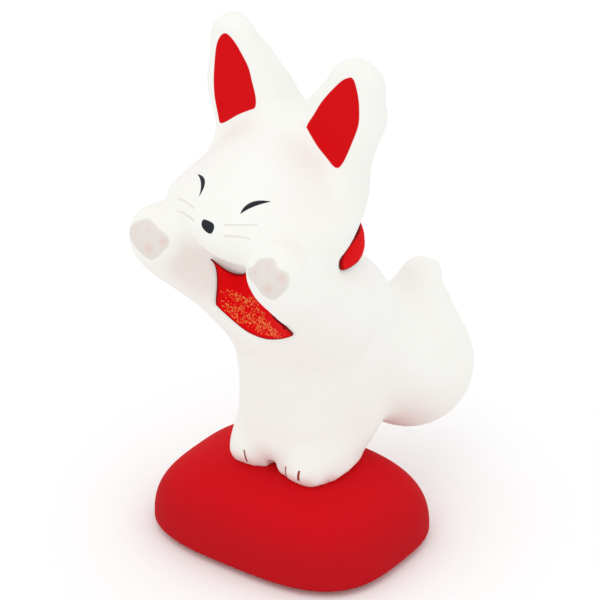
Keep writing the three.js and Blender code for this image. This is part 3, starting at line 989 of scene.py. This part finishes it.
def collar_line(u, v):
    """The line out to a point of the collar, and how far off the skin the cloth lies there."""
    along, across = collar_cut(u, v)
    turn = math.pi + along / NECK_RADIUS
    height = NECK_LEVEL + COLLAR_RISE * math.cos(turn) + across * MM
    crown = COLLAR_CROWN * fullness(u) * math.cos(v * math.pi / 2)
    return *line_out(turn, height, 0), (COLLAR_AWAY + crown) * MM


collar = cloth_piece("collar_cloth", COLLAR_COLUMNS, COLLAR_ROWS, collar_line, collar_cut)

# %% [markdown]
# Both pieces get their thickness from a Solidify modifier. The cloth is a fine plain weave, a little
# darker at the cut edge.

# %% The cloth's material and thickness
CLOTH_DEEP = srgb(212, 4, 12)
CLOTH_BRIGHT = srgb(229, 8, 14)
CLOTH_DRIFT = {"scale": 0.35, "detail": 3.0}
CUT_EDGE_RED = srgb(136, 10, 14)
CLOTH_ROUGHNESS = 0.8
CLOTH_SHINE = 0.05
THREAD_PITCH = 0.34
THREAD_HEIGHT = 0.03 * MM
BIB_THICKNESS = 0.45 * MM
COLLAR_THICKNESS = 0.6 * MM

red_cloth, tree, shader = new_paint("red cloth")
cut = add_node(tree, "ShaderNodeUVMap", {"uv_map": "cut"}).outputs["UV"]
threads = vector_calc(tree, "SCALE", cut, scale=math.pi / THREAD_PITCH)
across_thread = add_node(tree, "ShaderNodeSeparateXYZ", Vector=threads).outputs
warp = calc(tree, "ABSOLUTE", calc(tree, "SINE", across_thread["X"]))
weft = calc(tree, "ABSOLUTE", calc(tree, "SINE", across_thread["Y"]))
weave = calc(tree, "MULTIPLY", warp, weft)
cloth_red = mixed(tree, noise(tree, cut, **CLOTH_DRIFT), CLOTH_DEEP, CLOTH_BRIGHT)
feed(tree, shader["Base Color"], mixed(tree, stored(tree, "cut_edge"), cloth_red, CUT_EDGE_RED))
shader["Roughness"].default_value = CLOTH_ROUGHNESS
shader["Specular IOR Level"].default_value = CLOTH_SHINE
feed(tree, shader["Normal"], grain(tree, calc(tree, "MULTIPLY", weave, THREAD_HEIGHT)))

for cloth, thickness in ((bib, BIB_THICKNESS), (collar, COLLAR_THICKNESS)):
    cloth.data.materials.append(red_cloth)
    wall = cloth.modifiers.new("thickness", "SOLIDIFY")
    wall.thickness = thickness
    wall.offset = 0
    finished(cloth)
    cloth.data.shade_smooth()
    print(cloth.name, "has", len(cloth.data.polygons), "faces")

# %% [markdown]
# ## Gold flecks
#
# Flecks of gold leaf are scattered on the lower half of the bib, and lower still towards the fox's left.
# They follow the cloth and repeat, so a node tree scatters them: it throws points on the bib's faces with
# a fixed seed, more in some places than in others, and puts a thin six-sided flake on each, sized at
# random. They could be painted like the marks, but leaf lies on top of the cloth, and its rims show.

# %% The flecks' node tree
SMALLEST_FLECK = 0.55
LARGEST_FLECK = 1.25
FLAKE_TOP = 0.65
SPARSE_NOISE = 0.36
DENSE_NOISE = 0.6
SPARSE_SHARE = 0.3


def fleck_tree():
    """Strews flakes on a cloth. The random node has its range in inputs 2 and 3 and answers in output 1."""
    group, given, made = new_group(
        "Gold flecks", "GeometryNodeTree",
        [("Cloth", "NodeSocketObject", None), ("Per square metre", "NodeSocketFloat", 1e6),
         ("Cluster scale", "NodeSocketFloat", 400.0),
         ("Fleck radius", "NodeSocketFloat", 0.0002), ("Fleck height", "NodeSocketFloat", 0.00005),
         ("Seed", "NodeSocketInt", 1), ("Gold", "NodeSocketMaterial", None)],
        [("Geometry", "NodeSocketGeometry")])
    cloth = add_node(group, "GeometryNodeObjectInfo", Object=given["Cloth"])
    share = add_node(group, "GeometryNodeInputNamedAttribute", {"data_type": "FLOAT"}, Name="gold_share")
    clusters = add_node(group, "ShaderNodeTexNoise", Scale=given["Cluster scale"], Detail=1.0)
    crowding = add_node(group, "ShaderNodeMapRange", Value=clusters.outputs["Fac"],
                        From_Min=SPARSE_NOISE, From_Max=DENSE_NOISE, To_Min=SPARSE_SHARE)
    sown = calc(group, "MULTIPLY", share.outputs["Attribute"], crowding.outputs["Result"])
    density = calc(group, "MULTIPLY", sown, given["Per square metre"])
    thrown = add_node(group, "GeometryNodeDistributePointsOnFaces", Mesh=cloth.outputs["Geometry"],
                      Density=density, Seed=given["Seed"])
    flake = add_node(group, "GeometryNodeMeshCone", {"fill_type": "NGON"}, Vertices=6,
                     Radius_Top=FLAKE_TOP, Radius_Bottom=1.0, Depth=1.0)
    size = add_node(group, "FunctionNodeRandomValue", {"data_type": "FLOAT"}, Seed=given["Seed"])
    feed(group, size.inputs[2], SMALLEST_FLECK)
    feed(group, size.inputs[3], LARGEST_FLECK)
    radius = calc(group, "MULTIPLY", size.outputs[1], given["Fleck radius"])
    scale = add_node(group, "ShaderNodeCombineXYZ", X=radius, Y=radius, Z=given["Fleck height"])
    placed = add_node(group, "GeometryNodeInstanceOnPoints", Points=thrown.outputs["Points"],
                      Instance=flake.outputs["Mesh"], Rotation=thrown.outputs["Rotation"],
                      Scale=scale.outputs["Vector"])
    end_tree(group, made, placed.outputs["Instances"], given["Gold"])
    return group


# %% [markdown]
# The leaf is an orange gold that varies from fleck to fleck, half dull. How thickly it is strewn is
# painted on the bib first, as a share from 0 to 1. Only the outer side of the cloth gets any. Its corners
# are the first ones of the mesh, in the order of the bib's grid.

# %% Gold flecks
GOLD_RED = srgb(234, 84, 46)
GOLD_YELLOW = srgb(232, 160, 64)
GOLD_PATCHES = 2.1
PATCH_EDGE = 0.47
PATCH_BLUR = 0.06
GOLD_ROUGHNESS = 0.5
GOLD_METAL = 0.3
HIGHEST_GOLD = 0.42
GOLD_AT_MIDDLE = 0.52
GOLD_SLANT = 0.38
SIDE_END = 0.93
LOWER_END = 0.96
UPPER_FADE = 0.1
SIDE_FADE = 0.1
LOWER_FADE = 0.06
FLECKS = {"Per_square_metre": 7e6, "Cluster_scale": 420.0, "Fleck_radius": 0.2 * MM,
          "Fleck_height": 0.08 * MM, "Seed": 7}


def fading_in(distance, width):
    """0 before an edge and 1 after it, with an even rise over a width."""
    return np.clip(distance / width, 0, 1)


gold, tree, shader = new_paint("gold leaf")
patches = noise(tree, point_in_mm(tree), GOLD_PATCHES)
tone = inside(tree, calc(tree, "SUBTRACT", patches, PATCH_EDGE), PATCH_BLUR)
feed(tree, shader["Base Color"], mixed(tree, tone, GOLD_RED, GOLD_YELLOW))
shader["Roughness"].default_value = GOLD_ROUGHNESS
shader["Metallic"].default_value = GOLD_METAL

bib_lines = np.linspace(-1, 1, BIB_STEPS + 1)
u, v = np.meshgrid(bib_lines, bib_lines)
down = (1 - v) / 2
first_gold = np.maximum(HIGHEST_GOLD, GOLD_AT_MIDDLE + GOLD_SLANT * u)
share = fading_in(down - first_gold, UPPER_FADE) * fading_in(SIDE_END - abs(u), SIDE_FADE)
share *= fading_in(LOWER_END - down, LOWER_FADE)
gold_share = np.zeros(len(bib.data.vertices), np.float32)
gold_share[:share.size] = share.ravel()
bib.data.attributes.new("gold_share", "FLOAT", "POINT").data.foreach_set("value", gold_share)
flecks = grown("gold_flecks", fleck_tree(), Cloth=bib, **FLECKS, Gold=gold)

# %% [markdown]
# ## Handing over
#
# Each piece says which frame node it stands for, which finish it takes and what it moves with.

# %% Handing over
HANDED_OVER = [
    (fox, "fox", "white_body"),
    (base, "base", "red_base"),
    (collar, "collar", "red_cloth"),
    (bib, "bib", "red_cloth"),
    (flecks, None, "red_cloth"),
]
for piece, node, slot in HANDED_OVER:
    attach(piece, "root")
    if node:
        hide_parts(node)
